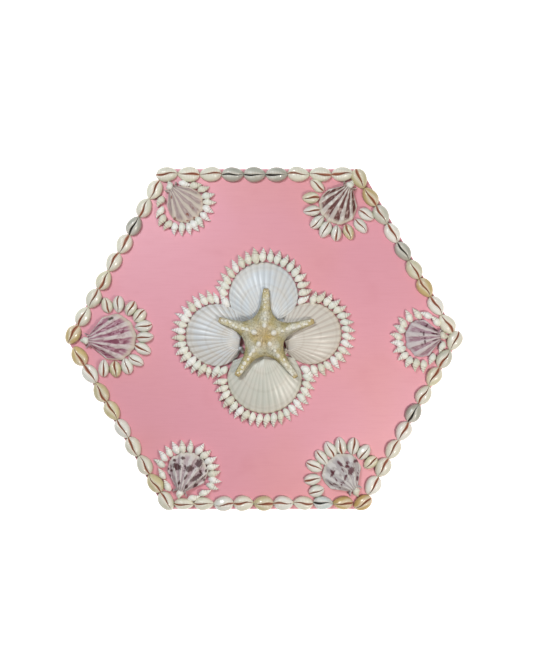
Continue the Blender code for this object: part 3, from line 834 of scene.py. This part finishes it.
def fanFinish(name, form):
    shell = Finish(name, {"Coat Weight": 0.08, "Coat Roughness": 0.3})
    side, out, flat = shell.across()
    place = shell.place()
    away = (form["seed"], 0.0, 0.0)
    shifted = shell.node("ShaderNodeVectorMath", {"operation": "ADD"}, {0: flat, 1: away})
    bend = shell.cloud(shifted, 3.0, 2.0) - 0.5
    line = shell.maths("COSINE", (side * form["ribs"] + bend * form["bend"]) * (2 * math.pi)) * 0.5 + 0.5
    streak = shell.cloud(shell.stretched(shifted, (34.0, 5.0, 1.0)), 1.0, 4.0)
    arcs = shell.cloud(shell.stretched(shifted, (5.0, 46.0, 1.0)), 1.0, 3.0)
    patch = shell.cloud(shell.stretched(shifted, (11.0, 6.0, 1.0)), 1.0, 2.0)
    fine = shell.cloud(place, 1300.0, 2.0)
    low, high = form["band"]
    within = shell.mask(out, low - 0.08, low + 0.08) * (1.0 - shell.mask(out, high - 0.08, high + 0.05))
    between, ribTone = colour(form["between"]), colour(form["ribTone"])
    body = shell.blend(shell.mask(streak, 0.42, 0.74) * 0.6, between, ribTone)
    dark = shell.mask(patch, form["patch"] - 0.05, form["patch"] + 0.05) * within
    ribs = shell.mask(line, 0.40, 0.74)
    body = shell.blend(dark * (1.0 - ribs * form["ribCut"]), body, colour(form["dark"]))
    body = shell.blend(ribs * 0.9 * (1.0 - dark * 0.4), body, ribTone)
    body = shell.blend(shell.mask(out, 0.86, 0.97) * 0.8, body, colour(form["rim"]))
    body = shell.blend(shell.mask(arcs, 0.55, 0.75) * 0.18, body, colour(form["arc"]), "MULTIPLY")
    body = shell.blend(shell.stored("mark") * 0.92, body, colour(form.get("markTone", form["dark"])))
    shell.feed("Base Color", body)
    shell.feed("Roughness", 0.42 + 0.2 * streak)
    shell.relief(arcs * 0.6 + streak * 0.6 + fine * 0.2, 0.5, 0.0005)
    return shell


# the small round shell on each fan's point, its spire towards the lid's corner
snailForm = {"length": 0.0082, "width": 0.0066, "stout": 0.6, "sway": (-20, 20)}


def addSnail(corner, form, finish, seed):
    dice = random.Random(seed)
    bm = bmesh.new()
    addLayers(bm, "spiral")
    place = laidAt(form["at"], form["facing"] + 180 + dice.uniform(*snailForm["sway"]))
    addSpiral(bm, place, snailForm["length"], snailForm["width"], dice, snailForm["stout"])
    addPiece(f"apexSnail.{corner}", bm, finish, [f"apex_snail_{corner}"])


for number, corner in enumerate(corners):
    form = {**fanForm["shared"], **fanForm[corner]}
    finish = fanFinish(f"fanShell.{corner}", form)
    place = laidAt(form["at"], form["facing"])
    addValve(f"fanShell.{corner}", form, place, finish, f"fan_shell_{corner}")
    addSnail(corner, form, smallShell, 80 + number)
print("fans made")

# starfish on the scallops: bearing in degrees and length of each arm, how white each arm's knobs
# are, and where along an arm its knobs lie and their radius
starForm = {
    "arms": ((16.2, 0.0449), (87.2, 0.0406), (160.5, 0.0413), (235.7, 0.0421), (307.7, 0.0456)),
    "middle": Vector((0.0008, 0.0030)),
    "waist": 0.0175,            # middle to rim between two arms
    "point": 0.1270,            # where an arm's sides would meet if it had no tip
    "flare": math.radians(10.2),
    "tipRound": 0.0034,
    "whites": (1.05, 0.55, 0.80, 1.15, 1.00),
    "height": 0.0069,
    "tipShare": 0.52,           # an arm's height at its tip, as a share of the middle's
    "valley": 0.35,
    "around": 300,
    "along": 90,
    "topShare": 0.8,            # the share of the mesh's rings that lie on top
    "gather": 0.8,              # draws the mesh together at the arms
    "knobs": (
        (0.21, 0.0026), (0.36, 0.0019), (0.48, 0.0019), (0.59, 0.0018), (0.69, 0.0017), (0.78, 0.0015),
        (0.86, 0.0014), (0.93, 0.0011),
    ),
    "knobRise": 0.95,
    "knobFoot": 1.35,           # a knob's foot, as a share of its radius
    "discShare": 0.3,           # knobs nearer than this stand on the disc and are quite white
    "grainHeight": 0.0003,
    "grain": 420.0,
    # flank is the colour of painted shade on the arms' sides
    "tones": {
        "pale": "eceadb", "straw": "dccf9e", "middle": "c9a650", "tip": "c2a262", "patch": "a08848",
        "flankShade": "b4b096", "grit": "9c9070", "knob": "faf8ee",
    },
}


def starReach(off, armLength):
    # from the middle to the rim, at an angle off the arm's ridge
    atPoint, atWaist = 1 / starForm["point"], 1 / starForm["waist"]
    free = 1 / (atWaist - (atWaist - atPoint) * math.exp(-off / starForm["flare"]))
    rounding = starForm["tipRound"]
    return -rounding * math.log(math.exp(-armLength / rounding) + math.exp(-free / rounding))


def starFinish():
    skin = Finish("starfishSkin", {"Roughness": 0.75})
    place = skin.place()
    tones = {name: colour(code) for name, code in starForm["tones"].items()}
    knob = skin.stored("knob")
    out = skin.stored("out")
    flankShade = skin.stored("flankShade")
    grit = skin.node("ShaderNodeTexVoronoi", {}, {"Vector": place, "Scale": 700.0}, "Distance")
    tone = skin.cloud(place, 90.0, 3.0)
    patch = skin.cloud(place, 260.0, 2.0)
    body = skin.blend(skin.mask(tone, 0.40, 0.62), tones["pale"], tones["straw"])
    body = skin.blend((1.0 - skin.mask(out, 0.10, 0.34)) * 0.55, body, tones["middle"])
    body = skin.blend(skin.mask(out, 0.88, 1.0) * 0.6, body, tones["tip"])
    body = skin.blend(skin.mask(patch, 0.54, 0.70) * 0.30, body, tones["patch"])
    # painted shade: the arms' sides are darkened from the ridge down towards the rim
    body = skin.blend(skin.mask(flankShade, 0.15, 0.80) * 0.60, body, tones["flankShade"], "MULTIPLY")
    body = skin.blend(skin.mask(grit, 0.35, 0.75) * 0.30, body, tones["grit"], "MULTIPLY")
    body = skin.blend(skin.mask(knob, 0.14, 0.50) * 0.9, body, tones["knob"])
    skin.feed("Base Color", body)
    skin.relief((1.0 - grit) * (1.0 - knob * 0.8) + patch * 0.3, 0.9, 0.0009)
    return skin


def starKnobs(dice):
    knobs = []
    for (bearing, length), white in zip(starForm["arms"], starForm["whites"]):
        for share, radius in starForm["knobs"]:
            along = turned(bearing + dice.uniform(-3, 3))
            spot = starForm["middle"] + along * length * (share + dice.uniform(-0.02, 0.02))
            radius *= dice.uniform(0.8, 1.15)
            disc = share < starForm["discShare"]
            knobs.append((spot, radius, 1.0 if disc else white * dice.uniform(0.7, 1.0)))
    return knobs


def addStarfish(finish, seed):
    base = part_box("starfish")[0].z
    arms, middle = starForm["arms"], starForm["middle"]
    knobs = starKnobs(random.Random(seed))
    bm = bmesh.new()
    addLayers(bm, "star")
    floats = bm.verts.layers.float
    bmesh.ops.create_uvsphere(bm, u_segments=starForm["around"], v_segments=starForm["along"], radius=1.0)
    for vertex in bm.verts:
        polar = math.acos(max(-1.0, min(1.0, vertex.co.z))) / math.pi
        top = polar < starForm["topShare"]
        out = polar / starForm["topShare"] if top else (1 - polar) / (1 - starForm["topShare"])
        ringed = out > 1e-4
        fifth = (math.atan2(vertex.co.y, vertex.co.x) / (2 * math.pi) % 1.0) * 5 if ringed else 0.0
        arm = int(fifth) % 5
        within = fifth - int(fifth)
        share = within - starForm["gather"] * math.sin(2 * math.pi * within) / (2 * math.pi)
        bearing, length = arms[arm]
        nextBearing, nextLength = arms[(arm + 1) % 5]
        span = (nextBearing - bearing) % 360
        off = math.radians(span * min(share, 1 - share))
        armLength = length if share < 0.5 else nextLength
        reach = starReach(off, armLength)
        spot = middle + turned(bearing + span * share) * reach * out
        crest = starForm["height"] * (1 - (1 - starForm["tipShare"]) * out * reach / armLength)
        rise = crest * (1 - out ** 2.6) ** 0.55 if top and out < 1 else 0.0
        rise *= 1 - starForm["valley"] * eased(off, 0.10, 0.60) * out * (1 - out) * 4
        white = 0.0
        if top and out < 0.97:
            grain = noise.noise(Vector((spot.x, spot.y, 0.0)) * starForm["grain"])
            rise += starForm["grainHeight"] * grain * min(1.0, 4 * (1 - out))
            for place, radius, bright in knobs:
                gone = (spot - place).length / radius
                if gone < starForm["knobFoot"]:
                    lump = 1 - eased(gone, 0.1, starForm["knobFoot"])
                    rise += radius * starForm["knobRise"] * lump
                    white = max(white, lump * bright)
        vertex.co = Vector((spot.x, spot.y, base + rise))
        ridge = min(0.99, out * reach / armLength)
        vertex[floats["knob"]] = white
        vertex[floats["out"]] = ridge
        # how far a spot lies from the ridge towards the rim, for the painted shade on the flanks
        vertex[floats["flankShade"]] = (out - ridge) / (1 - ridge)
    addPiece("starfishBody", bm, finish, ["starfish"])


addStarfish(starFinish(), 7)
print("starfish made")

# pale floor, which glows so that it stays white, and two small lights over a dim world
stageForm = {
    "floorHalf": 20.0,
    "floorTone": colour("f4f4f4"),
    "floorGlow": 1.0,
    "world": 0.15,
    "lights": {
        "lampRight": {
            "place": Vector((0.46, -0.34, 0.80)), "size": 0.12, "power": 3.85, "tint": (1.0, 0.94, 0.86),
        },
        "windowLeft": {
            "place": Vector((-0.40, 0.44, 0.85)), "size": 0.18, "power": 4.5, "tint": (0.92, 0.97, 1.0),
        },
    },
}
floorFinish = Finish("paleFloor", {"Roughness": 0.9, "Base Color": stageForm["floorTone"]})
floorFinish.shader.inputs["Emission Color"].default_value = stageForm["floorTone"]
floorFinish.shader.inputs["Emission Strength"].default_value = stageForm["floorGlow"]
floorBmesh = bmesh.new()
bmesh.ops.create_grid(floorBmesh, x_segments=1, y_segments=1, size=stageForm["floorHalf"])
floorMesh = bpy.data.meshes.new("floor")
floorBmesh.to_mesh(floorMesh)
floorBmesh.free()
floorMesh.materials.append(floorFinish.material)
floor = bpy.data.objects.new("floor", floorMesh)
bpy.context.scene.collection.objects.link(floor)

world = bpy.data.worlds.new("studio")
world.use_nodes = True
world.node_tree.nodes["Background"].inputs["Color"].default_value = (1.0, 1.0, 1.0, 1.0)
world.node_tree.nodes["Background"].inputs["Strength"].default_value = stageForm["world"]
bpy.context.scene.world = world
for name, form in stageForm["lights"].items():
    lamp = bpy.data.lights.new(name, "AREA")
    lamp.size = form["size"]
    lamp.energy = form["power"]
    lamp.color = form["tint"]
    light = bpy.data.objects.new(name, lamp)
    light.location = form["place"]
    light.rotation_euler = (form["place"] - Vector((0, 0, lidTop))).to_track_quat("Z", "Y").to_euler()
    bpy.context.scene.collection.objects.link(light)
bpy.context.scene.view_settings.view_transform = "Standard"
print("floor and light made")
